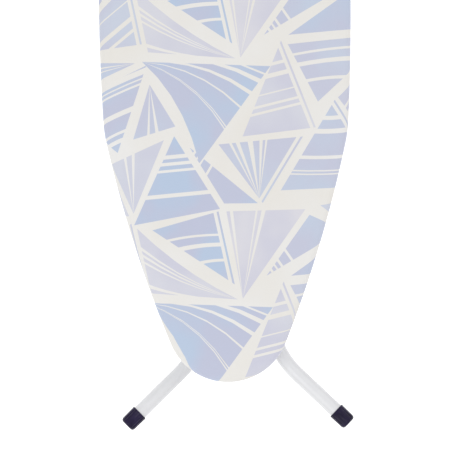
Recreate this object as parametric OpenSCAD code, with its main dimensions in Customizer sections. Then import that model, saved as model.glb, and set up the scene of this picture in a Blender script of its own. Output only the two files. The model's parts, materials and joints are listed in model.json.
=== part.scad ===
// Folding ironing board: covered expanded-metal deck on two crossing leg frames.
// Millimetres, +Z up. It lies folded, ironing surface up, on its four foot caps.
// The nose points to -Y and the tail with the iron rest to +Y. The origin is on the
// floor, under the middle of the whole folded object.
// "s" is a distance from the nose tip along the board, "u" one from a leg's top axle.

/* [Board] */
// Length of the covered board, nose tip to tail
board_len = 1240; // [1200:5:1280]
// Width of the covered board at its wide part
board_w = 380; // [370:2:400]
// Radius of the rounded nose
nose_r = 93.5; // [88:0.5:98]
// Radius of the soft shoulder where the taper meets the sides
shoulder_r = 220; // [150:10:300]
// Radius of the nearly straight sides behind the shoulder
side_r = 3700; // [3000:100:4000]
// Radius of the two tail corners
corner_r = 60; // [40:5:80]

/* [Deck and cover] */
// Diameter of the rod that frames the deck
rim_d = 8; // [7:0.5:9]
// Thickness of the expanded-metal sheet
mesh_t = 1.2; // [1:0.1:1.5]
// Thickness of the foam pad
foam_t = 8; // [5:0.5:9]
// Thickness of the cotton cover
cloth_t = 1.2; // [1:0.1:1.4]
// Width of the cover's hem under the rim
hem_w = 26; // [20:1:32]
// Width of the steel bars across the deck
bar_w = 30; // [26:1:34]

/* [Leg frames] */
// Outside diameter of the leg tubes
tube_d = 22; // [20:0.5:23]
// Wall of the leg tubes
tube_wall = 1.2; // [1:0.1:1.5]
// Distance of each tube from the middle of its leg frame
tube_half_gap = 52; // [51:0.5:54]
// Distance of each leg frame's middle from the middle of the board
frame_shift = 13.6; // [13.2:0.1:14]
// Distance from the top axles to the crossing axle
cross_u = 495; // [490:1:500]
// Distance from the top axle to where the tubes start to splay
splay_u = 989; // [985:1:1000]
// Radius of the splay bend
splay_r = 120; // [100:5:130]
// Angle that the feet splay by
splay_angle = 46; // [44:1:50]
// Straight length of tube between the bend and the foot cap
foot_run = 82.5; // [74:0.5:90]
// Angle of the folded leg frames to the board
folded_angle = 2.5; // [2.4:0.05:2.8]
// Distance of the fixed leg pivot from the tail
pivot_from_tail = 150; // [146:1:154]

/* [Feet] */
// Diameter of the foot caps
cap_d = 25.5; // [24.5:0.1:26]
// Length of the foot caps
cap_len = 27.5; // [25:0.5:30]
// Rounding of the foot caps' ends
cap_round = 4; // [3:0.5:5]

/* [Guide and lever] */
// Outside width of the guide channel
channel_w = 40; // [38:1:42]
// Height of the guide channel
channel_h = 26; // [25:0.5:27]
// Length of the height lever's paddle
paddle_len = 84; // [70:2:90]
// Width of the height lever's paddle
paddle_w = 40; // [30:2:42]

/* [Iron rest] */
// Width of the iron rest's tray
tray_w = 200; // [180:5:220]
// Length of the iron rest's tray
tray_len = 216; // [200:4:240]
// Height of the tray's lip
lip_h = 9; // [6:0.5:10]

/* [Hidden] */
$fn = 64;

gap = 0.1;            // between pieces that are fixed to each other
run = 0.05;           // radial clearance of a running fit
axle_d = 8;
steel = [0.86, 0.87, 0.89];
zinc = [0.70, 0.72, 0.74];
black = [0.10, 0.10, 0.11];
navy = [0.17, 0.13, 0.21];

// The outline is a chain of tangent arcs: [radius, heading at its start, heading at its end].
// A heading of 0 runs along +X, across the nose tip, and 90 runs along the board.
nose_turn = 68;
taper_turn = 77.5;
shoulder_turn = 87;
taper_r = (board_w / 2 - nose_r * sin(nose_turn) - shoulder_r * (sin(shoulder_turn) - sin(taper_turn))
    - side_r * (1 - sin(shoulder_turn))) / (sin(taper_turn) - sin(nose_turn));
arcs = [[nose_r, 0, nose_turn], [taper_r, nose_turn, taper_turn],
    [shoulder_r, taper_turn, shoulder_turn], [side_r, shoulder_turn, 90]];
arc_steps = [16, 10, 5, 4];
corner_steps = 16;
function dir(heading) = [sin(heading), -cos(heading)];
function arc_centre(i) = i == 0 ? [0, nose_r]
    : arc_centre(i - 1) + (arcs[i - 1][0] - arcs[i][0]) * dir(arcs[i][1]);
corner_centre = [board_w / 2 - corner_r, board_len - corner_r];
function half_outline(inset) = concat(
    [for (i = [0 : 3], k = [0 : arc_steps[i] - 1])
        arc_centre(i) + (arcs[i][0] - inset)
            * dir(arcs[i][1] + (arcs[i][2] - arcs[i][1]) * k / arc_steps[i])],
    [arc_centre(3) + (side_r - inset) * dir(90)],
    [for (k = [0 : corner_steps])
        corner_centre + (corner_r - inset) * dir(90 + 90 * k / corner_steps)]);
function outline(inset) = let (half = half_outline(inset), n = len(half))
    concat(half, [for (i = [n - 1 : -1 : 1]) [-half[i][0], half[i][1]]]);

// Legs: places in a leg frame's own plane
foot_x = tube_half_gap + splay_r * (1 - cos(splay_angle)) + foot_run * sin(splay_angle);
foot_u = splay_u + splay_r * sin(splay_angle) + foot_run * cos(splay_angle);
tube_in_cap = 22;
swage = 0.04;         // the straight foot end is a hair wider than the bend, and laps over it
swage_lap = 0.5;
top_over = 8;
brace_u = 800;
brace_d = 16;
// How far a foot cap reaches past its mouth, in a direction whose cosine to its axis is c
function cap_reach(c) = (cap_len - cap_round) * c + (cap_d / 2 - cap_round) * sqrt(1 - c * c) + cap_round;

// Heights
axle_z = foot_u * sin(folded_angle) + cap_reach(cos(splay_angle) * sin(folded_angle));
deck_z = axle_z + 16;
rim_z = deck_z + rim_d / 2;
mesh_z = rim_z - mesh_t / 2;
foam_z = rim_z + rim_d / 2 + gap;
top_z = foam_z + foam_t + cloth_t;
hem_z = deck_z - cloth_t - 0.3;

// Places along the board
pivot_s = board_len - pivot_from_tail;
slide_s = pivot_s - 2 * cross_u * cos(folded_angle);
open_angle = 55.5;
slide_open_s = pivot_s - 2 * cross_u * cos(open_angle);
feet_s = pivot_s - foot_u * cos(folded_angle) - cap_reach(cos(splay_angle) * cos(folded_angle));
tray_s = board_len + 14;
y_nose = -(feet_s + tray_s + tray_len) / 2;
function along(s) = y_nose + s;
pivot_y = along(pivot_s);
slide_y = along(slide_s);

// Deck and cover
rim_inset = cloth_t + 0.3 + rim_d / 2;
mesh_inset = rim_inset + rim_d / 2 + gap;
bar_t = rim_d / 2 - mesh_t / 2;
nose_bar_s = 112;
middle_bar_s = 546;
tail_bar_s = board_len - 52;

// Guide channel and rack
channel_wall = 1.5;
channel_from = slide_s - 26;
channel_to = slide_open_s + 52;
slot_h = axle_d + 0.6;
rack_t = 4;
rack_z = axle_z + 10;
rivet_x = 12;
rivet_d = 5;

// Pivot brackets
plate_t = 2.5;
plate_gap = 1.5;
flange_w = 32;

// Carriage and lever
block_w = channel_w - 2 * channel_wall - 1;
pin_y = 14;
pin_z = -3;
pin_d = 4;
lever_t = 4;
slit_w = 16;
nose_y = 33;
paddle_z = -29;
paddle_t = 3;

// Iron rest
rod_d = 8;
rod_x = 62;
rod_from = board_len - 112;
rod_z = hem_z - 0.3 - rod_d / 2;
tray_t = 1.5;
clamp_t = 2;

module slab(inset, t) {
    linear_extrude(t) polygon(outline(inset));
}

module ring(outer, inner, t) {
    linear_extrude(t) difference() {
        polygon(outline(outer));
        polygon(outline(inner));
    }
}

// A rod along +Y from s = from to s = to, at x and z
module rod_along(x, z, from, to, d) {
    translate([x, along(from), z]) rotate([-90, 0, 0]) cylinder(d = d, h = to - from);
}

// A rod along +X from x = from to x = to, at y and z
module rod_across(from, to, y, z, d) {
    translate([from, y, z]) rotate([0, 90, 0]) cylinder(d = d, h = to - from);
}

module cover_top() {
    color([0.84, 0.86, 0.93]) translate([0, along(0), top_z - cloth_t]) slab(0, cloth_t);
}

module cover_skirt() {
    color([0.92, 0.91, 0.88]) translate([0, along(0), hem_z + cloth_t]) ring(0, cloth_t, top_z - hem_z - 2 * cloth_t);
}

module cover_hem() {
    color([0.92, 0.91, 0.88]) translate([0, along(0), hem_z]) ring(0, hem_w, cloth_t);
}

module foam_pad() {
    color([0.93, 0.91, 0.80]) translate([0, along(0), foam_z]) slab(cloth_t + gap, foam_t);
}

module felt_layer() {
    color([0.80, 0.80, 0.78]) translate([0, along(0), mesh_z + mesh_t]) slab(mesh_inset + 1, rim_d / 2 - mesh_t / 2);
}

module deck_mesh() {
    color(zinc) translate([0, along(0), mesh_z]) slab(mesh_inset, mesh_t);
}

module rim_rod() {
    color(steel) translate([0, along(0), rim_z - rim_d / 2]) ring(rim_inset - rim_d / 2, rim_inset + rim_d / 2, rim_d);
}

// A flat steel bar across the deck, cut to the outline, with holes at [x, y from its middle]
module cross_bar(s, holes, d) {
    color(steel) translate([0, along(0), deck_z]) difference() {
        intersection() {
            slab(mesh_inset, bar_t);
            translate([-board_w / 2, s - bar_w / 2, -1]) cube([board_w, bar_w, bar_t + 2]);
        }
        for (h = holes) translate([h[0], s + h[1], -1]) cylinder(d = d, h = bar_t + 2);
    }
}

rivet_holes = [[-rivet_x, 0], [rivet_x, 0]];
left_plate_x = frame_shift - tube_half_gap - tube_d / 2 - plate_gap - plate_t;
right_plate_x = frame_shift + tube_half_gap + tube_d / 2 + plate_gap;
left_bolt_x = left_plate_x - flange_w / 2;
right_bolt_x = right_plate_x + plate_t + flange_w / 2;
bolt_d = 5;
bolt_holes = [for (x = [left_bolt_x, right_bolt_x], y = [-9, 9]) [x, y]];
clamp_hole_x = [for (side = [-1, 1], o = [-1, 1]) side * rod_x + o * 12];
clamp_holes = [for (x = clamp_hole_x) [x, 0]];

module cross_bar_nose() { cross_bar(nose_bar_s, rivet_holes, rivet_d + gap); }
module cross_bar_middle() { cross_bar(middle_bar_s, rivet_holes, rivet_d + gap); }
module cross_bar_pivot() { cross_bar(pivot_s, bolt_holes, bolt_d + gap); }
module cross_bar_tail() { cross_bar(tail_bar_s, clamp_holes, bolt_d + gap); }

// The channel hangs open side down; the sliding axle runs in the slots of its two walls
module guide_channel() {
    length = channel_to - channel_from;
    color(steel) translate([0, along(channel_from), deck_z - channel_h]) difference() {
        translate([-channel_w / 2, 0, 0]) cube([channel_w, length, channel_h]);
        translate([-channel_w / 2 + channel_wall, -1, -1])
            cube([channel_w - 2 * channel_wall, length + 2, channel_h - channel_wall + 1]);
        translate([-channel_w, slide_s - channel_from, channel_h + axle_z - deck_z])
            rotate([0, 90, 0]) cylinder(d = slot_h, h = 2 * channel_w);
        translate([-channel_w, slide_open_s - channel_from, channel_h + axle_z - deck_z])
            rotate([0, 90, 0]) cylinder(d = slot_h, h = 2 * channel_w);
        translate([-channel_w, slide_s - channel_from, channel_h + axle_z - deck_z - slot_h / 2])
            cube([2 * channel_w, slide_open_s - slide_s, slot_h]);
        for (s = [nose_bar_s, middle_bar_s], x = [-rivet_x, rivet_x])
            translate([x, s - channel_from, 0]) cylinder(d = rivet_d + gap, h = channel_h + 1);
    }
}

// Toothed strip under the channel's web: the lever's nose rises into a notch at each height
notch_angles = [40, 44, 48, 52, 55.5];
notch_depth = 3;
module height_rack() {
    from = channel_from + 34;
    color(zinc) difference() {
        translate([-rack_t / 2, along(from), rack_z])
            cube([rack_t, channel_to - from - 4, deck_z - channel_wall - rack_z]);
        for (a = notch_angles)
            translate([-rack_t, along(pivot_s - 2 * cross_u * cos(a)) + nose_y - 4, rack_z - 1])
                cube([2 * rack_t, 8, notch_depth + 1]);
    }
}

// Rivet or bolt: shank up from z = 0, head below
module fastener(d, head_d, head_t, length) {
    cylinder(d = d, h = length);
    translate([0, 0, -head_t]) cylinder(d = head_d, h = head_t);
}

module channel_rivets() {
    color(zinc) for (s = [nose_bar_s, middle_bar_s], x = [-rivet_x, rivet_x])
        translate([x, along(s), deck_z - channel_wall]) fastener(rivet_d, 9, 1.8, channel_wall + bar_t);
}

// Angle plate: the plate's lower end is round about the axle; outwards is the flange's side
module pivot_bracket(x, outwards) {
    color(steel) difference() {
        union() {
            translate([x, pivot_y - 12, axle_z]) cube([plate_t, 24, deck_z - axle_z]);
            rod_across(x, x + plate_t, pivot_y, axle_z, 24);
            translate([outwards > 0 ? x : x - flange_w + plate_t, pivot_y - bar_w / 2, deck_z - plate_t])
                cube([flange_w, bar_w, plate_t]);
        }
        rod_across(x - 1, x + plate_t + 1, pivot_y, axle_z, axle_d + 2 * run);
        for (h = bolt_holes) translate([h[0], pivot_y + h[1], deck_z - 10]) cylinder(d = bolt_d + gap, h = 20);
    }
}

module pivot_bracket_left() { pivot_bracket(left_plate_x, -1); }
module pivot_bracket_right() { pivot_bracket(right_plate_x, 1); }

module bracket_bolts() {
    color(zinc) for (h = bolt_holes)
        translate([h[0], pivot_y + h[1], deck_z - plate_t]) fastener(bolt_d, 9, 3, plate_t + bar_t);
}

// Shallow tray with a lip on its two sides and its far end, and steam slots between the strips
module rest_tray() {
    tray_z = rod_z + rod_d / 2;
    color(steel) difference() {
        translate([-tray_w / 2, along(tray_s), tray_z]) cube([tray_w, tray_len, lip_h]);
        translate([-tray_w / 2 + tray_t, along(tray_s) - 1, tray_z + tray_t])
            cube([tray_w - 2 * tray_t, tray_len - tray_t + 1, lip_h]);
        for (x = [-44, 0, 44], k = [0 : 3])
            translate([x, along(tray_s) + 30 + 50 * k, tray_z - 1]) cylinder(d = 12, h = tray_t + 2);
        for (x = [-rod_x, rod_x], k = [0, 1])
            translate([x, along(tray_s) + 20 + (tray_len - 40) * k, tray_z - 1])
                cylinder(d = bolt_d + gap, h = tray_t + 2);
    }
}

module rest_rod(x) {
    color(steel) difference() {
        rod_along(x, rod_z, rod_from, tray_s + tray_len - 4, rod_d);
        for (k = [0, 1]) translate([x, along(tray_s) + 20 + (tray_len - 40) * k, rod_z - 1])
            cylinder(d = 3 + gap, h = rod_d);
    }
}

module rest_rod_left() { rest_rod(-rod_x); }
module rest_rod_right() { rest_rod(rod_x); }

// Saddles that hold the rest's rods up against the tail bar
module rest_clamps() {
    drop = deck_z - rod_z + rod_d / 2 + gap + clamp_t;
    color(steel) for (side = [-1, 1]) translate([side * rod_x, along(tail_bar_s), deck_z]) difference() {
        translate([-18, -8, -drop]) cube([36, 16, drop]);
        translate([-rod_d / 2 - gap, -9, -drop + clamp_t]) cube([rod_d + 2 * gap, 18, drop]);
        translate([-19, -9, -drop - 1]) cube([12, 18, drop + 1 - clamp_t]);
        translate([7, -9, -drop - 1]) cube([12, 18, drop + 1 - clamp_t]);
        for (x = [-12, 12]) translate([x, 0, -drop - 1]) cylinder(d = bolt_d + gap, h = drop + 2);
    }
}

module rest_screws() {
    color(zinc) {
        for (x = clamp_hole_x) translate([x, along(tail_bar_s), deck_z - clamp_t]) fastener(bolt_d, 9, 3, clamp_t + bar_t);
        for (x = [-rod_x, rod_x], k = [0, 1])
            translate([x, along(tray_s) + 20 + (tray_len - 40) * k, rod_z + rod_d / 2 + tray_t]) mirror([0, 0, 1])
                union() {
                    cylinder(d = 3, h = tray_t + 4);
                    translate([0, 0, -1.8]) cylinder(d = 8, h = 1.8);
                }
    }
}

module silicone_strips() {
    strip_len = 150;
    strip_x = [-84, -22, 22, 84];
    color([0.30, 0.30, 0.33]) for (x = strip_x)
        translate([x, along(tray_s) + (tray_len - strip_len) / 2, rod_z + rod_d / 2 + tray_t]) {
            translate([-5, 0, 0]) cube([10, strip_len, 4]);
            for (y = [0, strip_len]) translate([0, y, 0]) cylinder(d = 10, h = 4);
        }
}

// Places a leg frame, drawn from its top axle along -Y, at its folded place
module at_leg_a() {
    translate([frame_shift, pivot_y, axle_z]) rotate([folded_angle, 0, 0]) children();
}

module at_leg_b() {
    translate([-frame_shift, slide_y, axle_z]) rotate([-folded_angle, 0, 0]) rotate([0, 0, 180]) children();
}

// One leg tube on the +X side, thick as d, from u = from to its end in the cap
module leg_path(d, from, over) {
    translate([tube_half_gap + splay_r, -splay_u, 0]) rotate([0, 0, 180]) {
        rotate_extrude(angle = splay_angle) translate([splay_r, 0]) circle(d = d);
        translate([splay_r, 0, 0]) rotate([90, 0, 0]) cylinder(d = d, h = splay_u - from);
        rotate([0, 0, splay_angle]) translate([splay_r, -swage_lap, 0]) rotate([-90, 0, 0])
            cylinder(d = d + swage, h = foot_run + tube_in_cap + over + swage_lap);
    }
}

module leg_tube(top_hole, cross_hole) {
    color(steel) difference() {
        leg_path(tube_d, -top_over, 0);
        leg_path(tube_d - 2 * tube_wall, -top_over - 1, 1);
        translate([tube_half_gap - tube_d, 0, 0]) rotate([0, 90, 0]) cylinder(d = top_hole, h = 2 * tube_d);
        translate([tube_half_gap - tube_d, -cross_u, 0]) rotate([0, 90, 0]) cylinder(d = cross_hole, h = 2 * tube_d);
    }
}

module leg_brace() {
    color(steel) difference() {
        translate([-tube_half_gap, -brace_u, 0]) rotate([0, 90, 0]) cylinder(d = brace_d, h = 2 * tube_half_gap);
        translate([-tube_half_gap - 1, -brace_u, 0]) rotate([0, 90, 0])
            cylinder(d = brace_d - 2 * tube_wall, h = 2 * tube_half_gap + 2);
        for (x = [-tube_half_gap, tube_half_gap])
            translate([x, -brace_u + 20, 0]) rotate([90, 0, 0]) cylinder(d = tube_d + gap, h = 40);
    }
}

module foot_cap() {
    translate([foot_x, -foot_u, 0]) rotate([0, 0, splay_angle]) rotate([90, 0, 0]) color(navy) rotate_extrude() difference() {
        union() {
            square([cap_d / 2 - cap_round, cap_len]);
            square([cap_d / 2, cap_len - cap_round]);
            translate([cap_d / 2 - cap_round, cap_len - cap_round]) circle(r = cap_round);
        }
        translate([-1, -1]) square([tube_d / 2 + gap / 2 + 1, tube_in_cap + 1.2]);
        translate([-cap_d, -1]) square([cap_d, cap_len + 2]);
    }
}

module top_plugs() {
    color(black) for (x = [-tube_half_gap, tube_half_gap]) translate([x, top_over, 0]) {
        rotate([90, 0, 0]) cylinder(d = tube_d - 2 * tube_wall - gap, h = 3.4);
        rotate([-90, 0, 0]) cylinder(d = tube_d - 2, h = 1.5);
    }
}

axle_over = 6;
module top_axle(d, over) {
    length = 2 * tube_half_gap + tube_d + 2 * over;
    color(zinc) translate([-length / 2, 0, 0]) rotate([0, 90, 0]) cylinder(d = d, h = length);
}

// Round push caps on the two ends of an axle of that overhang
module axle_caps(over) {
    half = tube_half_gap + tube_d / 2 + over;
    color(black) for (side = [-1, 1]) translate([side * (half - 2), 0, 0]) rotate([0, side * 90, 0]) difference() {
        cylinder(d = 13, h = 4);
        translate([0, 0, -1]) cylinder(d = axle_d, h = 3);
    }
}

module leg_a_tube_left() { at_leg_a() mirror([1, 0, 0]) leg_tube(axle_d + gap, axle_d + gap); }
module leg_a_tube_right() { at_leg_a() leg_tube(axle_d + gap, axle_d + gap); }
module leg_a_brace() { at_leg_a() leg_brace(); }
module leg_a_axle() { at_leg_a() top_axle(axle_d, axle_over + 2); }
module leg_a_axle_caps() { at_leg_a() axle_caps(axle_over + 2); }
module leg_a_top_plugs() { at_leg_a() top_plugs(); }
module foot_cap_a_left() { at_leg_a() mirror([1, 0, 0]) foot_cap(); }
module foot_cap_a_right() { at_leg_a() foot_cap(); }
module leg_b_tube_left() { at_leg_b() leg_tube(axle_d + gap, axle_d + 2 * run); }
module leg_b_tube_right() { at_leg_b() mirror([1, 0, 0]) leg_tube(axle_d + gap, axle_d + 2 * run); }
module leg_b_brace() { at_leg_b() leg_brace(); }
module leg_b_axle() { at_leg_b() top_axle(axle_d, axle_over); }
module leg_b_axle_caps() { at_leg_b() axle_caps(axle_over); }
module leg_b_top_plugs() { at_leg_b() top_plugs(); }
module foot_cap_b_left() { at_leg_b() foot_cap(); }
module foot_cap_b_right() { at_leg_b() mirror([1, 0, 0]) foot_cap(); }

// The crossing axle runs through all four tubes, in leg frame a's own plane
cross_y = pivot_y - cross_u * cos(folded_angle);
cross_z = axle_z - cross_u * sin(folded_angle);
outer_x = frame_shift + tube_half_gap + tube_d / 2;
inner_x = tube_half_gap - frame_shift - tube_d / 2;

module cross_axle() {
    color(zinc) rod_across(-outer_x - 7, outer_x + 7, cross_y, cross_z, axle_d);
}

// A tube on the crossing axle from x = from to x = to
module cross_sleeve(from, to, d) {
    difference() {
        rod_across(from, to, cross_y, cross_z, d);
        rod_across(from - 1, to + 1, cross_y, cross_z, axle_d + gap);
    }
}

module cross_spacer() {
    color(black) cross_sleeve(-inner_x + 0.2, inner_x - 0.3, 14);
}

module cross_washers() {
    color(black) for (side = [-1, 1]) {
        near = side * (inner_x + tube_d);
        far = side * (inner_x + 2 * frame_shift);
        cross_sleeve(min(near, far) + 0.3, max(near, far) - 0.3, 16);
    }
}

module cross_nuts() {
    color(zinc) {
        cross_sleeve(-outer_x - 7, -outer_x - 0.4, 14);
        cross_sleeve(outer_x + 0.4, outer_x + 7, 14);
    }
}

// The sliding block, forked towards the tail round the lever
module at_carriage() {
    translate([0, slide_y, axle_z]) children();
}

module carriage_block() {
    color(black) at_carriage() difference() {
        translate([-block_w / 2, -18, -9.5]) cube([block_w, 62, 18.5]);
        translate([-slit_w / 2, 7, -20]) cube([slit_w, 60, 40]);
        translate([-block_w, 0, 0]) rotate([0, 90, 0]) cylinder(d = axle_d + 2 * run, h = 2 * block_w);
        translate([-block_w, pin_y, pin_z]) rotate([0, 90, 0]) cylinder(d = pin_d + gap, h = 2 * block_w);
    }
}

module lever_pin() {
    color(zinc) at_carriage() translate([-block_w / 2, pin_y, pin_z]) rotate([0, 90, 0]) cylinder(d = pin_d, h = block_w);
}

// Torsion spring beside the lever: three closed turns, one leg on the block, one on the lever
module lever_spring() {
    wire = 1.1;
    coil_r = 3.4;
    color(zinc) at_carriage() translate([3.6, pin_y, pin_z]) {
        for (k = [0 : 2]) translate([k * 1.0, 0, 0]) rotate([0, 90, 0])
            rotate_extrude() translate([coil_r, 0]) circle(d = wire, $fn = 24);
        translate([2.0, 0, coil_r]) rotate([90, 0, 0]) cylinder(d = wire, h = 5.6, $fn = 24);
        translate([0, 0, -coil_r]) rotate([-90, 0, 0]) cylinder(d = wire, h = 9, $fn = 24);
    }
}

// Flat lever on the pin: its nose rises to the rack, its tail drops out of the channel
module height_lever() {
    color(steel) at_carriage() difference() {
        union() {
            translate([-lever_t / 2, pin_y, pin_z]) rotate([0, 90, 0]) cylinder(d = 11, h = lever_t);
            translate([-lever_t / 2, 0, 0]) rotate([90, 0, 90]) linear_extrude(lever_t)
                polygon([[pin_y - 2, pin_z + 5], [nose_y - 3, 9.4], [nose_y + 3, 9.4], [nose_y + 5, 4],
                    [nose_y + 3, paddle_z + 8], [nose_y + 14, paddle_z], [nose_y - 8, paddle_z],
                    [pin_y + 2, pin_z - 5]]);
        }
        translate([-10, pin_y, pin_z]) rotate([0, 90, 0]) cylinder(d = pin_d + 2 * run, h = 20);
    }
}

// Plastic paddle under the lever's tail
module lever_grip() {
    start = nose_y - 8;
    color(navy) at_carriage() translate([0, start, paddle_z - paddle_t - gap]) {
        translate([-paddle_w / 2, 0, 0]) cube([paddle_w, paddle_len - 12, paddle_t]);
        translate([-paddle_w / 2 + 12, paddle_len - 24, 0]) cube([paddle_w - 24, 24, paddle_t]);
        for (side = [-1, 1]) translate([side * (paddle_w / 2 - 12), paddle_len - 12, 0]) cylinder(r = 12, h = paddle_t);
    }
}

cover_top();
cover_skirt();
cover_hem();
foam_pad();
felt_layer();
deck_mesh();
rim_rod();
cross_bar_nose();
cross_bar_middle();
cross_bar_pivot();
cross_bar_tail();
guide_channel();
height_rack();
channel_rivets();
pivot_bracket_left();
pivot_bracket_right();
bracket_bolts();
rest_tray();
rest_rod_left();
rest_rod_right();
rest_clamps();
rest_screws();
silicone_strips();
leg_a_tube_left();
leg_a_tube_right();
leg_a_brace();
leg_a_axle();
leg_a_axle_caps();
leg_a_top_plugs();
foot_cap_a_left();
foot_cap_a_right();
cross_axle();
cross_spacer();
cross_washers();
cross_nuts();
leg_b_tube_left();
leg_b_tube_right();
leg_b_brace();
leg_b_axle();
leg_b_axle_caps();
leg_b_top_plugs();
foot_cap_b_left();
foot_cap_b_right();
carriage_block();
lever_pin();
lever_spring();
height_lever();
lever_grip();
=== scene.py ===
import json
import math

import bmesh
import bpy
import numpy as np
from mathutils import Matrix, Vector
from mathutils.geometry import delaunay_2d_cdt
from mathutils.kdtree import KDTree


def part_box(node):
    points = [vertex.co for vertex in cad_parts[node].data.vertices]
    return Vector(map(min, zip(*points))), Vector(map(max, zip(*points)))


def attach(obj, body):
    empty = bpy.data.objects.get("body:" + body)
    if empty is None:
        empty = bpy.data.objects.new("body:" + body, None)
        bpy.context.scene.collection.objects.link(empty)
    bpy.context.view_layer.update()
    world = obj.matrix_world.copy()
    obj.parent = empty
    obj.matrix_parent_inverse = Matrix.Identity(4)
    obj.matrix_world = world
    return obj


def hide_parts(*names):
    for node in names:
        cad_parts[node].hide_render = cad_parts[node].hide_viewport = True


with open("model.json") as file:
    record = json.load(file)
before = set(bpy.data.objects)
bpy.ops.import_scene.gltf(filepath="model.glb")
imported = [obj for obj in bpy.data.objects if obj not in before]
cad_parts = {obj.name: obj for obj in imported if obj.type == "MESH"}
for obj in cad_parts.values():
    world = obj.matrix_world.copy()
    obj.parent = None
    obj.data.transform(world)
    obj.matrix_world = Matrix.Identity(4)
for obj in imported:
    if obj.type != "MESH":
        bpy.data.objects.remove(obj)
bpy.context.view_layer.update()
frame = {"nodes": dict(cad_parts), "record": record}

# ---------------------------------------------------------------- sizes, in metres
cover_lo, cover_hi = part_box("cover_top")
rim_lo, rim_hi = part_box("rim_rod")
mesh_lo, mesh_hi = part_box("deck_mesh")
felt_lo, felt_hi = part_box("felt_layer")
FOAM_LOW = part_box("foam_pad")[0][2]
LENGTH = cover_hi[1] - cover_lo[1]
WIDTH = cover_hi[0] - cover_lo[0]
NOSE_Y = cover_lo[1]
TOP_Z = cover_hi[2]
HEM_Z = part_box("cover_hem")[0][2]
NOSE_R = 0.0935          # the outline's radii, from the nose to the tail
SHOULDER_R = 0.22
SIDE_R = 3.7
CORNER_R = 0.06
# The outline's heading at the end of the nose, of the taper and of the shoulder
NOSE_TURN, TAPER_TURN, SHOULDER_TURN = (math.radians(a) for a in (68, 77.5, 87))


# ---------------------------------------------------------------- the board's outline
def heading(a):
    return np.array([math.sin(a), -math.cos(a)])


def outline_arcs():
    """[(centre, radius, first heading, last heading)] on the +X side, from the nose tip to the tail."""
    straight = NOSE_R * math.sin(NOSE_TURN) + SHOULDER_R * (math.sin(SHOULDER_TURN) - math.sin(TAPER_TURN))
    straight += SIDE_R * (1 - math.sin(SHOULDER_TURN))
    taper_r = (WIDTH / 2 - straight) / (math.sin(TAPER_TURN) - math.sin(NOSE_TURN))
    turns = [(NOSE_R, 0.0, NOSE_TURN), (taper_r, NOSE_TURN, TAPER_TURN),
             (SHOULDER_R, TAPER_TURN, SHOULDER_TURN), (SIDE_R, SHOULDER_TURN, math.pi / 2)]
    arcs, centre, before = [], np.array([0.0, NOSE_R]), NOSE_R
    for radius, start, end in turns:
        centre = centre + (before - radius) * heading(start)
        arcs.append((centre, radius, start, end))
        before = radius
    arcs.append((np.array([WIDTH / 2 - CORNER_R, LENGTH - CORNER_R]), CORNER_R, math.pi / 2, math.pi))
    return arcs


ARCS = outline_arcs()


def outline(inset, step=0.006):
    """The outline moved inwards by inset, as points (x, s) about step apart, round from the nose tip."""
    half = []
    for centre, radius, start, end in ARCS:
        begin = centre + (radius - inset) * heading(start)
        n = max(4, int((end - start) * radius / step))
        joined = bool(half) and np.allclose(half[-1], begin)
        if half and not joined:
            gap = begin - half[-1]
            m = max(1, int(np.linalg.norm(gap) / step))
            half += [half[-1] + gap * k / m for k in range(1, m)]
        half += [centre + (radius - inset) * heading(start + (end - start) * k / n)
                 for k in range(1 if joined else 0, n + 1)]
    m = max(1, int(half[-1][0] / step))
    half += [half[-1] * [1 - k / m, 1] for k in range(1, m + 1)]
    return half + [p * [-1, 1] for p in reversed(half[1:-1])]


def edge_place(x, s, inset):
    """(distance outside the outline moved in by inset, outward normal) of the point (x, s)."""
    ax, sign = abs(x), 1 if x >= 0 else -1
    best, normal = -1.0, np.array([0.0, 1.0])
    p = np.array([ax, s])
    for centre, radius, start, end in ARCS:
        v = p - centre
        r = math.hypot(*v)
        turn = math.atan2(v[0], -v[1])
        if start - 1e-9 <= turn <= end + 1e-9 and r - (radius - inset) > best:
            best, normal = r - (radius - inset), v / max(r, 1e-9)
    side_from, corner = ARCS[3][0][1], ARCS[4][0]
    if side_from <= s <= corner[1] and ax - (WIDTH / 2 - inset) > best:
        best, normal = ax - (WIDTH / 2 - inset), np.array([1.0, 0.0])
    if ax <= corner[0] and s - (LENGTH - inset) > best:
        best, normal = s - (LENGTH - inset), np.array([0.0, 1.0])
    return best, normal * [sign, 1]


# ---------------------------------------------------------------- small mesh helpers
def add_object(name, verts, faces, smooth=True):
    mesh = bpy.data.meshes.new(name)
    mesh.from_pydata([tuple(v) for v in verts], [], faces)
    mesh.validate()
    if smooth:
        mesh.shade_smooth()
    obj = bpy.data.objects.new(name, mesh)
    bpy.context.scene.collection.objects.link(obj)
    return obj


def outward(obj):
    """Turns the faces of a closed mesh outwards."""
    b = bmesh.new()
    b.from_mesh(obj.data)
    bmesh.ops.remove_doubles(b, verts=b.verts, dist=1e-6)
    bmesh.ops.recalc_face_normals(b, faces=b.faces)
    b.to_mesh(obj.data)
    b.free()
    return obj


def sharp_by_angle(obj, degrees=35):
    obj.data.set_sharp_from_angle(angle=math.radians(degrees))


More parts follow.
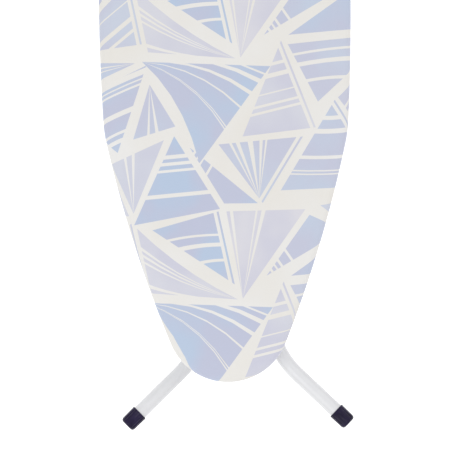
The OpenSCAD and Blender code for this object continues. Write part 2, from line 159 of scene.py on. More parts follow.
def sweep(name, points, radius, sides, closed=False):
    """A round rod of one radius along points, with flat ends unless it is closed."""
    pts = [Vector(p) for p in points]
    n = len(pts)
    verts, faces = [], []
    for i, p in enumerate(pts):
        a = pts[(i - 1) % n if closed else max(i - 1, 0)]
        b = pts[(i + 1) % n if closed else min(i + 1, n - 1)]
        t = (b - a).normalized()
        side = t.cross(Vector((0, 0, 1))).normalized()
        over = side.cross(t).normalized()
        for k in range(sides):
            w = 2 * math.pi * k / sides
            verts.append(p + side * math.cos(w) * radius + over * math.sin(w) * radius)
    for i in range(n if closed else n - 1):
        j = (i + 1) % n
        for k in range(sides):
            m = (k + 1) % sides
            faces.append((i * sides + k, j * sides + k, j * sides + m, i * sides + m))
    if not closed:
        faces.append(tuple(range(sides)))
        faces.append(tuple((n - 1) * sides + k for k in reversed(range(sides))))
    return outward(add_object(name, verts, faces))


# ---------------------------------------------------------------- node materials
def srgb(r, g, b):
    def channel(v):
        v /= 255
        return v / 12.92 if v <= 0.04045 else ((v + 0.055) / 1.055) ** 2.4
    return (channel(r), channel(g), channel(b), 1.0)


class Nodes:
    """A material's node tree, with short ways to add and join nodes."""

    def __init__(self, name):
        self.material = bpy.data.materials.new(name)
        self.material.use_nodes = True
        self.tree = self.material.node_tree
        self.shader = self.tree.nodes["Principled BSDF"]
        self.coords = self.add("ShaderNodeTexCoord").outputs["Object"]

    def add(self, kind, **values):
        node = self.tree.nodes.new(kind)
        for key, value in values.items():
            setattr(node, key, value)
        return node

    def link(self, a, b):
        self.tree.links.new(a, b)

    def put(self, value, socket):
        """Sets a socket to a constant, or links an output to it."""
        if isinstance(value, (int, float, tuple)):
            socket.default_value = value
        else:
            self.link(value, socket)

    def math(self, operation, a, b=None):
        node = self.add("ShaderNodeMath", operation=operation)
        self.put(a, node.inputs[0])
        if b is not None:
            self.put(b, node.inputs[1])
        return node.outputs[0]

    def noise(self, scale, detail=3.0, roughness=0.5, vector=None):
        node = self.add("ShaderNodeTexNoise")
        node.inputs["Scale"].default_value = scale
        node.inputs["Detail"].default_value = detail
        node.inputs["Roughness"].default_value = roughness
        self.link(vector or self.coords, node.inputs["Vector"])
        return node.outputs["Fac"]

    def stretched(self, x, y, z):
        node = self.add("ShaderNodeMapping")
        node.inputs["Scale"].default_value = (x, y, z)
        self.link(self.coords, node.inputs["Vector"])
        return node.outputs["Vector"]

    def ramp(self, factor, low, high, a, b):
        node = self.add("ShaderNodeMapRange")
        for key, value in (("From Min", low), ("From Max", high), ("To Min", a), ("To Max", b)):
            node.inputs[key].default_value = value
        self.link(factor, node.inputs["Value"])
        return node.outputs["Result"]

    def mix(self, factor, a, b):
        node = self.add("ShaderNodeMix", data_type="RGBA")
        for socket, value in ((node.inputs[0], factor), (node.inputs[6], a), (node.inputs[7], b)):
            self.put(value, socket)
        return node.outputs[2]

    def bump(self, height, strength, distance):
        node = self.add("ShaderNodeBump")
        node.inputs["Strength"].default_value = strength
        node.inputs["Distance"].default_value = distance
        self.link(height, node.inputs["Height"])
        return node.outputs["Normal"]

    def finish(self, color, roughness, normal=None):
        self.put(color, self.shader.inputs["Base Color"])
        self.put(roughness, self.shader.inputs["Roughness"])
        if normal is not None:
            self.link(normal, self.shader.inputs["Normal"])
        return self.material


def weave(n, pitch):
    """Height of a plain weave of that pitch, in the XY plane and down the sides."""
    split = n.add("ShaderNodeSeparateXYZ")
    n.link(n.coords, split.inputs[0])
    turn = 2 * math.pi / pitch
    warp = n.math("SINE", n.math("MULTIPLY", split.outputs["X"], turn))
    weft = n.math("SINE", n.math("MULTIPLY", split.outputs["Y"], turn))
    drop = n.math("SINE", n.math("MULTIPLY", split.outputs["Z"], turn))
    return n.math("ADD", n.math("MULTIPLY", warp, weft), n.math("MULTIPLY", drop, 0.4))


CREAM = srgb(236, 235, 233)
UNBLEACHED = srgb(233, 230, 224)
PERIWINKLE = srgb(192, 197, 219)
SKY = srgb(184, 201, 225)
LILAC = srgb(209, 209, 223)
PEARL = srgb(219, 218, 226)
# grey that the cotton's colour leans to in the weave's hollows, as painted shade
WEAVE_PAINTED_SHADE = srgb(170, 170, 180)
THREAD_PITCH = 0.0011


def cotton(name):
    """Printed woven cotton. The print attribute holds the ink's cover in red and its paleness in green."""
    n = Nodes(name)
    cloth = n.mix(n.ramp(n.noise(9, 4), 0.3, 0.7, 0.0, 1.0), CREAM, UNBLEACHED)
    ink = n.add("ShaderNodeAttribute", attribute_name="print")
    part = n.add("ShaderNodeSeparateColor")
    n.link(ink.outputs["Color"], part.inputs[0])
    wash = n.ramp(n.noise(13, 2, 0.4), 0.38, 0.62, 0.0, 1.0)
    fill = n.mix(part.outputs["Green"], n.mix(wash, PERIWINKLE, SKY), n.mix(wash, LILAC, PEARL))
    speck = n.ramp(n.noise(900, 2), 0.25, 0.75, 0.94, 1.0)
    color = n.mix(n.math("MULTIPLY", part.outputs["Red"], speck), cloth, fill)
    threads = weave(n, THREAD_PITCH)
    slub = n.noise(1, 2, 0.5, n.stretched(120, 1400, 300))
    # painted shade: the colour darkens by up to 6% towards a grey where the weave's threads dip
    color = n.mix(n.ramp(threads, -1, 1, 0.06, 0.0), color, n.mix(0.5, color, WEAVE_PAINTED_SHADE))
    height = n.math("ADD", threads, n.math("MULTIPLY", slub, 1.2))
    n.shader.inputs["Sheen Weight"].default_value = 0.25
    n.shader.inputs["Sheen Roughness"].default_value = 0.5
    n.shader.inputs["Specular IOR Level"].default_value = 0.25
    return n.finish(color, n.ramp(slub, 0.3, 0.7, 0.82, 0.95), n.bump(height, 0.25, 0.00012))


def powder_coat(name, color, dark, roughness):
    n = Nodes(name)
    tint = n.mix(n.ramp(n.noise(14, 3), 0.3, 0.7, 0.0, 1.0), color, dark)
    peel = n.noise(1300, 2, 0.4)
    normal = n.bump(peel, 0.12, 0.00008)
    n.shader.inputs["Coat Weight"].default_value = 0.15
    n.shader.inputs["Coat Roughness"].default_value = 0.3
    return n.finish(tint, n.ramp(n.noise(60, 2), 0.3, 0.7, roughness - 0.04, roughness + 0.05), normal)


def zinc(name, color):
    n = Nodes(name)
    grain = n.noise(1, 3, 0.5, n.stretched(900, 90, 900))
    spangle = n.noise(160, 2)
    darker = tuple(0.82 * v for v in color[:3]) + (1.0,)
    tint = n.mix(n.ramp(spangle, 0.35, 0.65, 0.0, 1.0), color, darker)
    n.shader.inputs["Metallic"].default_value = 1.0
    return n.finish(tint, n.ramp(grain, 0.3, 0.7, 0.28, 0.45), n.bump(grain, 0.1, 0.00005))


def moulded(name, color, lighter, roughness):
    n = Nodes(name)
    grain = n.noise(1500, 3, 0.6)
    tint = n.mix(n.ramp(n.noise(70, 3), 0.35, 0.65, 0.0, 1.0), color, lighter)
    n.shader.inputs["Specular IOR Level"].default_value = 0.22
    gloss = n.ramp(grain, 0.3, 0.7, roughness - 0.06, roughness + 0.08)
    return n.finish(tint, gloss, n.bump(grain, 0.25, 0.0001))


def fibrous(name, color, other, scale, depth):
    n = Nodes(name)
    fibres = n.noise(scale, 6, 0.75)
    tint = n.mix(n.ramp(fibres, 0.35, 0.65, 0.0, 1.0), color, other)
    return n.finish(tint, 0.95, n.bump(fibres, 0.6, depth))


PRINTED_COTTON = cotton("printed_cotton")
LEG_PAINT = powder_coat("leg_powder_coat", srgb(230, 231, 232), srgb(225, 225, 228), 0.38)
DECK_PAINT = powder_coat("deck_powder_coat", srgb(214, 216, 219), srgb(206, 208, 212), 0.45)
ZINC = zinc("zinc_plate", srgb(196, 200, 205))
BLACK_PLASTIC = moulded("black_plastic", srgb(34, 34, 37), srgb(44, 44, 47), 0.5)
FOOT_PLASTIC = moulded("aubergine_plastic", srgb(22, 14, 44), srgb(36, 27, 62), 0.36)
SILICONE = moulded("grey_silicone", srgb(70, 70, 76), srgb(80, 80, 86), 0.7)
FOAM = fibrous("open_cell_foam", srgb(236, 228, 196), srgb(222, 212, 178), 700, 0.0004)
FELT = fibrous("needled_felt", srgb(206, 206, 204), srgb(178, 178, 180), 400, 0.0006)

SLOT_MATERIAL = {
    "cover_print": PRINTED_COTTON, "cover_edge": PRINTED_COTTON, "foam": FOAM, "felt": FELT,
    "deck_steel": DECK_PAINT, "zinc": ZINC, "rest_steel": DECK_PAINT, "silicone": SILICONE,
    "leg_paint": LEG_PAINT, "black_plastic": BLACK_PLASTIC, "foot_plastic": FOOT_PLASTIC,
    "lever_steel": ZINC,
}
for part in frame["record"]["subparts"]:
    node = frame["nodes"][part["node"]]
    node.data.materials.clear()
    node.data.materials.append(SLOT_MATERIAL[part["material_slot"]])


def dress(obj, material, slot, body, *nodes):
    """Gives a piece its material and body, and hides the CAD nodes that it stands for. The slot argument is
    not used.
    """
    obj.data.materials.clear()
    obj.data.materials.append(material)
    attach(obj, body)
    if nodes:
        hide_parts(*nodes)
    return obj


# ---------------------------------------------------------------- the print
REPEAT = 0.363           # along the board, in metres
REPEATS = range(-2, 4)
PAST_END = 0.06          # how far past the board's ends the print still reaches
RAIL_W = 0.003
RAIL_PITCH = 0.008       # from the shard's side to where its ladder starts beside a rail
LEAST_DEPTH = 0.03       # of a shard that takes a rail
LEAST_STRIPE = 0.0015
LEAST_INK = 4e-6         # square metres
# Widths along a shard in millimetres: ink, gap, ink, gap and so on, the last ink running to its end
STRIPES = [
    [13, 3, 8, 7, 16, 6, 22, 3, 34, 2, 2, 2, 90],
    [20, 5, 11, 7, 22, 2, 14, 4, 6, 4, 90],
    [16, 6, 13, 7, 32, 5, 16, 2, 3, 2, 90],
    [16, 4, 6, 6, 12, 8, 10, 5, 4, 3, 90],
    [28, 6, 5, 5, 6, 4, 32, 6, 90],
    [34, 5, 22, 7, 12, 4, 90],
    [12, 6, 6, 4, 20, 7, 24, 3, 4, 2, 4, 8, 90],
    [9, 4, 5, 3, 5, 4, 14, 4, 90],
    [5, 5, 34, 3, 6, 6, 90],
    [22, 4, 9, 5, 90],
]
# The shards of one repeat: ladder or fan, which stripes, paleness, bow, skew, and three corners
# as (x, s) in millimetres, the first being the one that the ladder starts or the fan spreads from
SHARDS = [
    ("fan", 0, 0.05, 0.09, 0, (-120, 480), (62, 472), (-40, 335)),
    ("ladder", 1, 0.85, 0, 0.05, (84, 508), (28, 372), (132, 384)),
    ("ladder", 5, 0.40, 0.04, 0, (140, 424), (98, 506), (245, 520)),
    ("fan", 3, 0.55, 0, 0, (250, 500), (172, 426), (250, 322)),
    ("ladder", 2, 0.30, 0.03, 0, (164, 418), (86, 290), (240, 296)),
    ("fan", 3, 0.40, 0, 0, (54, 272), (-8, 356), (112, 366)),
    ("ladder", 4, 0.00, 0, -0.05, (-78, 366), (-136, 240), (-14, 262)),
    ("ladder", 7, 0.10, 0, 0.20, (-52, 350), (-4, 270), (44, 270)),
    ("fan", 9, 0.75, 0, 0, (-140, 258), (-172, 328), (-96, 362)),
    ("ladder", 6, 0.15, 0.03, 0, (-164, 350), (-122, 474), (-245, 415)),
    ("fan", 9, 0.35, 0, 0, (-114, 446), (-138, 368), (-78, 386)),
    ("ladder", 5, 0.00, 0.03, 0.08, (8, 150), (-108, 228), (-14, 254)),
    ("fan", 4, 0.90, 0.04, 0, (10, 126), (-132, 228), (-114, 136)),
    ("fan", 8, 1.00, 0, 0, (24, 130), (2, 254), (114, 256)),
    ("ladder", 7, 0.30, 0, 0.12, (62, 162), (124, 248), (172, 226)),
    ("ladder", 9, 0.15, 0, 0, (250, 172), (100, 160), (180, 216)),
    ("ladder", 3, 0.60, 0, -0.10, (192, 230), (132, 272), (250, 280)),
    ("fan", 7, 0.90, 0, 0, (204, 222), (250, 262), (250, 190)),
    ("ladder", 1, 0.50, 0, 0.10, (-128, 148), (-250, 132), (-146, 236)),
    ("ladder", 7, 0.10, 0, 0, (-162, 236), (-250, 236), (-250, 152)),
    ("fan", 3, 0.80, 0, 0, (-182, 324), (-150, 252), (-250, 252)),
    ("ladder", 9, 0.30, 0, 0, (-194, 330), (-250, 268), (-250, 340)),
    ("ladder", 7, 0.65, 0, 0, (-184, 344), (-250, 350), (-250, 398)),
    ("fan", 9, 0.30, 0, 0, (-140, 480), (-250, 430), (-250, 482)),
]
SHARD_GROWTH = 1.06
RAILED = (1, 4, 5, 11, 18)               # shards with a thin line of ink along one side


def inside(points, triangle):
    """Clips a convex polygon to the triangle."""
    a, b, c = triangle
    if np.cross(b - a, c - a) < 0:
        b, c = c, b
    poly = points
    for p, q in ((a, b), (b, c), (c, a)):
        out = []
        for i, v in enumerate(poly):
            w = poly[(i + 1) % len(poly)]
            dv, dw = np.cross(q - p, v - p), np.cross(q - p, w - p)
            if dv >= 0:
                out.append(v)
            if dv * dw < 0:
                out.append(v + (w - v) * dv / (dv - dw))
        poly = out
        if len(poly) < 3:
            return []
    return poly


def bowed(p, q, push, share=1.0):
    """Points from p to q on a shallow curve pushed sideways."""
    return [p + (q - p) * t + push * 4 * t * (1 - t) * share for t in (0, 0.2, 0.4, 0.6, 0.8, 1)]


def area_of(points):
    return sum(np.cross(points[i - 1], points[i]) for i in range(len(points))) / 2


def shard_inks(corners, widths, fan, bow, rail, skew):
    """The inked polygons of one shard: a fan from its first corner, or a ladder across it."""
    a, b, c = corners
    out = []
    if rail:
        deep = 2 * abs(area_of(corners)) / np.linalg.norm(c - a)
        if deep > LEAST_DEPTH:
            edge, inner = RAIL_W / deep, RAIL_PITCH / deep
            out.append([a, c, c + (b - c) * edge, a + (b - a) * edge])
            a, c = a + (b - a) * inner, c + (b - c) * inner
    length = np.linalg.norm(c - b) if fan else np.linalg.norm((b + c) / 2 - a)
    at = 0.0
    for k, width in enumerate(widths):
        end = min(at + width / 1000, length)
        t, u = at / length, end / length * (1.3 if end == length and not fan else 1.0)
        if k % 2 == 0 and end - at > LEAST_STRIPE:
            if fan:
                p, q = b + (c - b) * t, b + (c - b) * u
                side = np.array([-(p - a)[1], (p - a)[0]]) * bow
                out.append(bowed(a, p, side) + bowed(a, q, side)[::-1])
            else:
                push = ((b + c) / 2 - a) * bow
                up, down = 1 + skew, 1 - skew
                out.append(bowed(a + (b - a) * t * up, a + (c - a) * t * down, push, t)
                           + bowed(a + (b - a) * u * up, a + (c - a) * u * down, push, u)[::-1])
        at = end
        if at >= length:
            break
    return out


def print_polygons():
    """[(polygon in metres as (x, s), (1, paleness, 0, 1))] over the whole cut of the cover."""
    out = []
    for k in REPEATS:
        for number, (kind, stripes, pale, bow, skew, *corners) in enumerate(SHARDS):
            shard = [np.array([x / 1000, s / 1000 + k * REPEAT]) for x, s in corners]
            middle = sum(shard) / 3
            shard = [middle + (p - middle) * SHARD_GROWTH for p in shard]
            if max(p[1] for p in shard) < -PAST_END or min(p[1] for p in shard) > LENGTH + PAST_END:
                continue
            for points in shard_inks(shard, STRIPES[stripes], kind == "fan", bow, number in RAILED, skew):
                points = inside(points, shard)
                if len(points) >= 3 and abs(area_of(points)) > LEAST_INK:
                    out.append((points, (1.0, pale, 0.0, 1.0)))
    return out


# ---------------------------------------------------------------- the cotton cover
EDGE_R = 0.0085          # the padded top edge's rounding
UNDER_R = 0.003          # the cover's turn under the rim
HEM_W = 0.026
CASING = 0.007           # the draw cord's casing at the hem's inner edge
CASING_DROP = 0.0018
SKIRT_H = TOP_Z - HEM_Z - EDGE_R - UNDER_R
ROLL = math.pi / 2 * EDGE_R
TURN = math.pi / 2 * UNDER_R
CUT_OUT = ROLL + SKIRT_H + TURN + HEM_W - UNDER_R     # how far the cut goes past the roll's start
UNDER_TOP = 0.0004       # the cloth lies this far under the CAD's top and inside its side
INSIDE_SIDE = 0.0003
GATHER_PITCH = 0.0085    # the small waves where the cloth is gathered round a bend
GATHER_MOST = 0.0016
GATHER_GROWTH = 0.05
BEND_R = 0.085           # of the outline where the gathers are full
NOSE_BEND_END, TAIL_BEND = 0.06, 0.05                 # their lengths at the two ends
NOSE_CENTRE = 0.09       # of the waves' count round the nose
SIDE_SHARE = 0.15        # of the full gathers, along the sides
SETTLE_FRAMES = 18
MOST_BLOWN = 0.0018


def lifted(x, s):
    """Where a point of the flat cut lies on the board."""
    d, normal = edge_place(x, s, EDGE_R)
    if d <= 0:
        return (x, NOSE_Y + s, TOP_Z - UNDER_TOP)
    hem_run = d - ROLL - SKIRT_H - TURN
    base = np.array([x, s]) - normal * d
    if d <= ROLL:
        a = d / EDGE_R
        out, z = EDGE_R * math.sin(a), TOP_Z - EDGE_R * (1 - math.cos(a))
    elif d <= ROLL + SKIRT_H:
        out, z = EDGE_R, TOP_Z - EDGE_R - (d - ROLL)
    elif d <= ROLL + SKIRT_H + TURN:
        a = (d - ROLL - SKIRT_H) / UNDER_R
        out, z = EDGE_R - UNDER_R * (1 - math.cos(a)), HEM_Z + UNDER_R * (1 - math.sin(a))
    else:
        out, z = EDGE_R - UNDER_R - hem_run, HEM_Z
    in_casing = hem_run - (HEM_W - UNDER_R - CASING)
    if in_casing > 0:
        z -= CASING_DROP * math.sin(math.pi * in_casing / CASING)
    bend = (1 if s < NOSE_BEND_END or s > LENGTH - TAIL_BEND else SIDE_SHARE) / BEND_R
    under = max(0.0, d - ROLL - SKIRT_H * 0.5)
    around = math.atan2(x, NOSE_CENTRE - s) * BEND_R if s < NOSE_CENTRE else s + abs(x)
    waves = math.sin(around * 2 * math.pi / GATHER_PITCH)
    z += min(GATHER_MOST, GATHER_GROWTH * under * bend / 12) * waves
    x, s = base + normal * (out - INSIDE_SIDE)
    return (x, NOSE_Y + s, z - UNDER_TOP if d < ROLL else z)


def inside_of(points, polygon):
    """Which of the points are inside the polygon."""
    lo, hi = polygon.min(axis=0), polygon.max(axis=0)
    near = np.flatnonzero(((points > lo) & (points < hi)).all(axis=1))
    x, y = points[near].T
    hit = np.zeros(len(near), bool)
    for (ax, ay), (bx, by) in zip(polygon, np.roll(polygon, -1, axis=0)):
        if ay != by:
            hit ^= ((ay > y) != (by > y)) & (x < (bx - ax) * (y - ay) / (by - ay) + ax)
    return near[hit]


def cut_cloth(edge_out, ring_step, rings, grid_step, grid_in, nearness, shapes=()):
    """Triangles of the cover's flat cut out to edge_out past the roll's start. It has edges along the
    rings and the shapes, and a grid of points from grid_in inside the roll's start."""
    verts, edges = [], []

    def loop(points, edged=True):
        first = len(verts)
        verts.extend(Vector((float(p[0]), float(p[1]))) for p in points)
        ring = list(range(first, len(verts)))
        if edged:
            edges.extend((a, ring[(i + 1) % len(ring)]) for i, a in enumerate(ring))
        return ring

    outer = loop(outline(EDGE_R - edge_out, ring_step), False)
    for offset in rings:
        loop(outline(EDGE_R - offset, ring_step))
    for i in range(int(WIDTH / grid_step) + 1):
        for j in range(int(LENGTH / grid_step) + 1):
            x, s = -WIDTH / 2 + grid_step * (i + 0.5 * (j % 2)), grid_step * j
            if edge_place(x, s, EDGE_R)[0] < -grid_in:
                verts.append(Vector((x, s)))
    for points in shapes:
        loop(points)
    out = delaunay_2d_cdt(verts, edges, [outer], 1, nearness, True)
    triangles = [face for face, made_of in zip(out[2], out[5]) if made_of]
    return np.array([tuple(v) for v in out[0]]), np.array(triangles)


def settle():
    """Blows the cover out against its held hem in a cloth simulation of a coarse copy of it.
    Returns the copy's points on the flat cut and how far each of them moved outwards."""
    under = ROLL + SKIRT_H + TURN
    rings = [-0.012, -0.004] + [ROLL * k / 3 for k in range(4)]
    rings += [ROLL + SKIRT_H / 2, ROLL + SKIRT_H, under, CUT_OUT - 0.012]
    flat, triangles = cut_cloth(CUT_OUT - 0.0001, 0.014, rings, 0.015, 0.02, 1e-6)
    start = [lifted(*p) for p in flat]
    copy = add_object("coarse_cover", start, triangles.tolist())
    held = [i for i, p in enumerate(flat) if edge_place(*p, EDGE_R)[0] > ROLL + SKIRT_H * 0.4]
    copy.vertex_groups.new(name="held").add(held, 1.0, "REPLACE")
    cloth = copy.modifiers.new("cloth", "CLOTH").settings
    cloth.vertex_group_mass = "held"
    cloth.quality = 6
    cloth.mass = 0.2
    cloth.tension_stiffness = cloth.compression_stiffness = 25
    cloth.shear_stiffness = 10
    cloth.bending_stiffness = 0.3
    cloth.tension_damping = cloth.compression_damping = 15
    cloth.effector_weights.gravity = 0.0
    cloth.use_pressure = True
    cloth.uniform_pressure_force = 1.5
    scene = bpy.context.scene
    for shot in range(1, SETTLE_FRAMES + 1):
        scene.frame_set(shot)
    blown = copy.evaluated_get(bpy.context.evaluated_depsgraph_get()).to_mesh()
    moved = np.array([tuple(v.co) for v in blown.vertices]) - np.array(start)
    outwards = np.array([tuple(n.vector) for n in copy.data.vertex_normals])
    scene.frame_set(1)
    bpy.data.objects.remove(copy)
    if outwards[:, 2].sum() < 0:
        outwards = -outwards
    return flat, outwards * np.clip((moved * outwards).sum(axis=1, keepdims=True), 0, None)


def blow_out(obj, flat_points):
    """Moves the fine cover outwards as the coarse one moved, by at most MOST_BLOWN."""
    flat, moved = settle()
    length = np.linalg.norm(moved, axis=1, keepdims=True)
    moved *= MOST_BLOWN * np.tanh(length / MOST_BLOWN) / np.maximum(length, 1e-9)
    tree = KDTree(len(flat))
    for i, p in enumerate(flat):
        tree.insert((p[0], p[1], 0), i)
    tree.balance()
    for vertex, p in zip(obj.data.vertices, flat_points):
        near = tree.find_n((p[0], p[1], 0), 5)
        weights = [1 / (d + 0.002) ** 2 for _, _, d in near]
        shift = sum(moved[i] * w for (_, i, _), w in zip(near, weights)) / sum(weights)
        vertex.co += Vector(shift)


def make_cover():
    """The fine cover with the print's shapes cut into its mesh, and the area of its flat cut."""
    shown = [(points, shade) for points, shade in print_polygons()
             if any(edge_place(p[0], p[1], EDGE_R)[0] < CUT_OUT - 0.0005 for p in points)]
    skirt, under = ROLL + SKIRT_H, ROLL + SKIRT_H + TURN
    rings = [-0.012, -0.008, -0.004] + [ROLL * k / 5 for k in range(6)]
    rings += [ROLL + SKIRT_H * 0.5, skirt, skirt + TURN / 2, under]
    rings += [under + (HEM_W - UNDER_R) * k / 12 for k in (2, 4, 6, 8, 9, 10, 11)]
    flat, triangles = cut_cloth(CUT_OUT, 0.006, rings, 0.009, 0.016, 4e-5, [p for p, shade in shown])
    middles = flat[triangles].mean(axis=1)
    shades = np.zeros((len(triangles), 4), np.float32)
    shades[:, 3] = 1.0
    for points, shade in shown:
        shades[inside_of(middles, np.array(points))] = shade
    used, corners = np.unique(triangles, return_inverse=True)
    flat = flat[used]
    triangles = corners.reshape(-1, 3)
    cover = add_object("cotton_cover", [lifted(*p) for p in flat], triangles.tolist())
    blow_out(cover, flat)
    attribute = cover.data.color_attributes.new("print", "FLOAT_COLOR", "CORNER")
    attribute.data.foreach_set("color", np.repeat(shades, 3, axis=0).ravel())
    cover.modifiers.new("even_normals", "WEIGHTED_NORMAL").mode = "FACE_AREA"
    a, b, c = (flat[triangles[:, k]] for k in range(3))
    return cover, float(np.abs(np.cross(b - a, c - a)).sum() / 2)


cover, cover_area = make_cover()
dress(cover, PRINTED_COTTON, "cover_print", "board", "cover_top", "cover_skirt", "cover_hem")


# ---------------------------------------------------------------- what lies under the cover
def padded_slab(name, inset, low, high, round_r):
    """A slab to the outline with a rounded top edge."""
    rings = [(inset, low)]
    for k in range(6):
        a = math.pi / 2 * k / 5
        rings.append((inset + round_r * (1 - math.cos(a)), high - round_r * (1 - math.sin(a))))
    shapes = [outline(ring_inset, 0.012) for ring_inset, z in rings]
    count = len(shapes[0])
    verts = [(p[0], NOSE_Y + p[1], z) for shape, (ring_inset, z) in zip(shapes, rings) for p in shape]
    faces = []
    for r in range(len(rings) - 1):
        for i in range(count):
            j = (i + 1) % count
            faces.append((r * count + i, r * count + j, (r + 1) * count + j, (r + 1) * count + i))
    faces.append(tuple(range(count)))
    faces.append(tuple((len(rings) - 1) * count + i for i in range(count)))
    return outward(add_object(name, verts, faces))


PAD_LIFT = 0.0002        # the pads stay this far over the CAD's undersides
FOAM_IN = 0.0022         # and the foam this far inside the cover's sides and top
FOAM_ROUND = 0.0078
FELT_IN = WIDTH / 2 - felt_hi[0] + 0.0004
FELT_ROUND = 0.0012
foam = padded_slab("foam_core", FOAM_IN, FOAM_LOW + PAD_LIFT, TOP_Z - FOAM_IN, FOAM_ROUND)
dress(foam, FOAM, "foam", "board", "foam_pad")
felt = padded_slab("felt_underlay", FELT_IN, felt_lo[2] + PAD_LIFT, felt_hi[2], FELT_ROUND)
dress(felt, FELT, "felt", "board", "felt_layer")

rim_r = (rim_hi[2] - rim_lo[2]) / 2
rim_inset = WIDTH / 2 - (rim_hi[0] - rim_r)
rim_z = (rim_lo[2] + rim_hi[2]) / 2
rim_line = [(p[0], NOSE_Y + p[1], rim_z) for p in outline(rim_inset, 0.010)]
dress(sweep("rim_rod_round", rim_line, rim_r, 16, closed=True), DECK_PAINT, "deck_steel", "board", "rim_rod")

STRAND_X, STRAND_Y = 0.012, 0.028        # the expanded metal's pitches
STRAND_W = 0.002


def make_deck():
    """Expanded metal: a lattice of slit and stretched strands, clipped at the rim rod."""
    thick = mesh_hi[2] - mesh_lo[2]
    z = (mesh_lo[2] + mesh_hi[2]) / 2
    verts, faces = [], []
    strand = ((0, 1, 5, 4), (1, 2, 6, 5), (2, 3, 7, 6), (3, 0, 4, 7))
    for j in range(int(2 * LENGTH / STRAND_Y) + 1):
        for i in range(-int(WIDTH / STRAND_X), int(WIDTH / STRAND_X) + 1):
            if (i + j) % 2:
                continue
            start = np.array([i * STRAND_X / 2, j * STRAND_Y / 2])
            for way in (-1, 1):
                end = start + np.array([way * STRAND_X / 2, STRAND_Y / 2])
                d0, d1 = edge_place(*start, rim_inset)[0], edge_place(*end, rim_inset)[0]
                if d0 >= -0.001 and d1 >= -0.001:
                    continue
                p, q = start, end
                if d1 > 0:
                    q = start + (end - start) * (-d0 / (d1 - d0))
                elif d0 > 0:
                    p = end + (start - end) * (-d1 / (d0 - d1))
                along = (q - p) / max(np.linalg.norm(q - p), 1e-9)
                side = np.array([-along[1], along[0]]) * STRAND_W / 2
                lean = way * thick * 0.25
                first = len(verts)
                for point in (p, q):
                    for s, h in ((-1, -1), (1, -1), (1, 1), (-1, 1)):
                        x, y = point + side * s
                        verts.append((x, NOSE_Y + y, z + h * thick * 0.25 + s * lean))
                faces += [tuple(first + k for k in side_face) for side_face in strand]
    return outward(add_object("deck_expanded_metal", verts, faces, False))


dress(make_deck(), DECK_PAINT, "deck_steel", "board", "deck_mesh")


# ---------------------------------------------------------------- legs
TUBE_R = 0.011
LEG_HALF = 0.052                 # half the distance between a frame's tubes
OVER_AXLE = 0.008                # the tubes' ends past their top axle
SPLAY_AT = 0.989                 # from the top axle to where the feet start to turn out
SPLAY_R = 0.12
SPLAY = math.radians(46)
FOOT_RUN = 0.0825
FOLDED = math.radians(2.5)
TUBE_IN_CAP = 0.022
CAP_LEN = 0.0275
CAP_R = 0.01275
CAP_STEP = 0.0003                # from the mouth's rolled rim down to the barrel, and along the barrel
MOUTH_LEN = 0.0024
END_ROUND = 0.0045
RIB_COUNT = 12
RIB_DEPTH = 0.001
RECESS_DEPTH = 0.0011
RECESS_FROM, RECESS_TO, RECESS_HALF = 0.006, 0.017, 0.30        # along the cap, and half its angle


def leg_frame(axle, turned):
    """From a leg frame's own plane, drawn from its top axle along -Y, to its place when folded."""
    lo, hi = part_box(axle)
    place = Matrix.Translation((lo + hi) / 2)
    if turned:
        return place @ Matrix.Rotation(-FOLDED, 4, "X") @ Matrix.Rotation(math.pi, 4, "Z")
    return place @ Matrix.Rotation(FOLDED, 4, "X")


def leg_line(side, run):
    """The tube's centre line in the leg's plane, on the side -1 or 1."""
    points = [(LEG_HALF, OVER_AXLE - k * (SPLAY_AT + OVER_AXLE) / 24) for k in range(24)]
    for k in range(25):
        a = SPLAY * k / 24
        points.append((LEG_HALF + SPLAY_R * (1 - math.cos(a)), -SPLAY_AT - SPLAY_R * math.sin(a)))
    x, y = points[-1]
    points += [(x + math.sin(SPLAY) * run * k / 4, y - math.cos(SPLAY) * run * k / 4) for k in (1, 2, 3, 4)]
    return [Vector((side * x, y, 0)) for x, y in points]


def foot_cap(name, frame_matrix, side):
    """A moulded cap: ribbed barrel, rolled mouth and a rounded end."""
    sides = 96
    barrel_r = CAP_R - CAP_STEP
    profile = [(-0.0002, TUBE_R), (0.0, CAP_R - 0.0006), (0.0006, CAP_R), (0.0018, CAP_R)]
    profile.append((MOUTH_LEN, barrel_r))
    barrel = CAP_LEN - END_ROUND - MOUTH_LEN
    profile += [(MOUTH_LEN + barrel * k / 8, barrel_r - CAP_STEP * k / 8) for k in range(1, 9)]
    for k in range(1, 7):
        a = math.pi / 2 * k / 6
        r = barrel_r - CAP_STEP - END_ROUND * (1 - math.cos(a))
        profile.append((CAP_LEN - END_ROUND * (1 - math.sin(a)), r))
    profile += [(CAP_LEN, 0.004), (CAP_LEN - 0.0006, 0.0032), (CAP_LEN - 0.0006, 0.0)]
    mouth = leg_line(side, FOOT_RUN)[-1]
    axis = Vector((side * math.sin(SPLAY), -math.cos(SPLAY), 0))
    across = Vector((axis.y, -axis.x, 0))
    verts, faces = [], []
    for x, r in profile:
        ribbed = MOUTH_LEN < x < CAP_LEN - 0.004
        recessed = ribbed and RECESS_FROM < x < RECESS_TO
        for k in range(sides):
            a = 2 * math.pi * k / sides
            deep = RIB_DEPTH * (0.5 - 0.5 * math.cos(a * RIB_COUNT)) ** 2 if ribbed else 0.0
            recess = RECESS_DEPTH if recessed and abs(a - math.pi / 2) < RECESS_HALF else 0.0
            radius = r - max(deep, recess)
            spoke = across * math.cos(a) * radius + Vector((0, 0, math.sin(a) * radius))
            verts.append(mouth + axis * x + spoke)
    for i in range(len(profile) - 1):
        for k in range(sides):
            m = (k + 1) % sides
            faces.append((i * sides + k, i * sides + m, (i + 1) * sides + m, (i + 1) * sides + k))
    faces.append(tuple(range(sides)))
    cap = add_object(name, verts, faces)
    cap.data.transform(frame_matrix)
    return outward(cap)


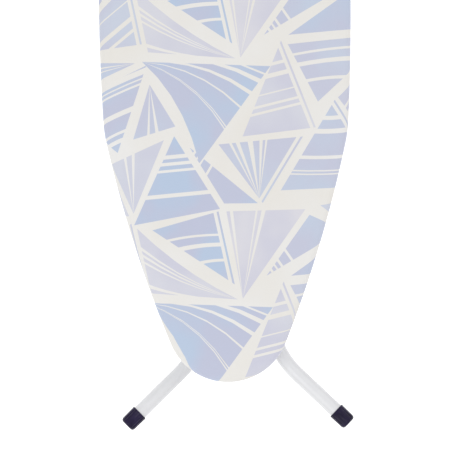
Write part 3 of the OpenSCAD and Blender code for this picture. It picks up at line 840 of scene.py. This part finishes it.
for letter, turned in (("a", False), ("b", True)):
    matrix = leg_frame(f"leg_{letter}_axle", turned)
    for side in (-1, 1):
        hand = "left" if (side < 0) != turned else "right"
        tube = sweep(f"leg_{letter}_bent_tube_{hand}", leg_line(side, FOOT_RUN + TUBE_IN_CAP), TUBE_R, 48)
        tube.data.transform(matrix)
        sharp_by_angle(tube)
        dress(tube, LEG_PAINT, "leg_paint", f"leg_{letter}", f"leg_{letter}_tube_{hand}")
        cap = foot_cap(f"ribbed_cap_{letter}_{hand}", matrix, side)
        sharp_by_angle(cap, 50)
        dress(cap, FOOT_PLASTIC, "foot_plastic", f"leg_{letter}", f"foot_cap_{letter}_{hand}")


# ---------------------------------------------------------------- camera, light, floor
STANDING_Z = -0.9        # where the feet stand once the legs are opened
FLOOR_HALF = 80
FLOOR_GLOW = 0.4
FLOOR_WHITES = srgb(250, 250, 250), srgb(252, 252, 252)
SKY_STRENGTH = 0.69
SOFTBOX = 2.5            # across, in metres


def add_softbox(name, place, aim, energy):
    data = bpy.data.lights.new(name, "AREA")
    data.energy = energy
    data.shape = "DISK"
    data.size = SOFTBOX
    obj = bpy.data.objects.new(name, data)
    obj.location = place
    obj.rotation_euler = (Vector(aim) - Vector(place)).to_track_quat("-Z", "Y").to_euler()
    bpy.context.scene.collection.objects.link(obj)


def make_stage():
    signs = ((-1, -1), (1, -1), (1, 1), (-1, 1))
    corners = [(x * FLOOR_HALF, y * FLOOR_HALF, STANDING_Z) for x, y in signs]
    floor = add_object("floor", corners, [(0, 1, 2, 3)], False)
    n = Nodes("pale_floor")
    n.shader.inputs["Emission Color"].default_value = (1, 1, 1, 1)
    n.shader.inputs["Emission Strength"].default_value = FLOOR_GLOW
    floor.data.materials.append(n.finish(n.mix(n.noise(2), *FLOOR_WHITES), 0.9))
    world = bpy.data.worlds.new("studio")
    bpy.context.scene.world = world
    world.use_nodes = True
    sky = world.node_tree.nodes["Background"]
    sky.inputs["Color"].default_value = (1, 1, 1, 1)
    sky.inputs["Strength"].default_value = SKY_STRENGTH
    target = (0, NOSE_Y + 0.3, 0)
    add_softbox("key", (-1.6, NOSE_Y - 1.2, 3.0), target, 38)
    add_softbox("fill", (2.2, NOSE_Y + 1.2, 2.6), target, 20)


VIEW_WIDTH = 0.6915       # of the plane of the board's top, across the picture
VIEW_AIM = (0.0044, NOSE_Y + 0.2285, TOP_Z)
VIEW_LENS = 1000.0
VIEW_SENSOR = 36.0
VIEW_TILT = math.radians(3.0)
VIEW_LEFT = math.radians(0.1)
VIEW_ROLL = math.radians(0.6)


def make_camera():
    data = bpy.data.cameras.new("camera")
    data.lens = VIEW_LENS
    data.sensor_width = VIEW_SENSOR
    data.clip_end = 60
    away = VIEW_WIDTH / VIEW_SENSOR * VIEW_LENS
    back = Vector((-math.sin(VIEW_LEFT), -math.sin(VIEW_TILT), 1)).normalized()
    cam = bpy.data.objects.new("camera", data)
    right = Vector((math.sin(VIEW_ROLL), math.cos(VIEW_ROLL), 0)).cross(back).normalized()
    turn = Matrix((right, back.cross(right), back)).transposed().to_4x4()
    cam.matrix_world = Matrix.Translation(Vector(VIEW_AIM) + back * away) @ turn
    bpy.context.scene.collection.objects.link(cam)
    bpy.context.scene.camera = cam


make_stage()
make_camera()
bpy.context.scene.view_settings.view_transform = "Standard"
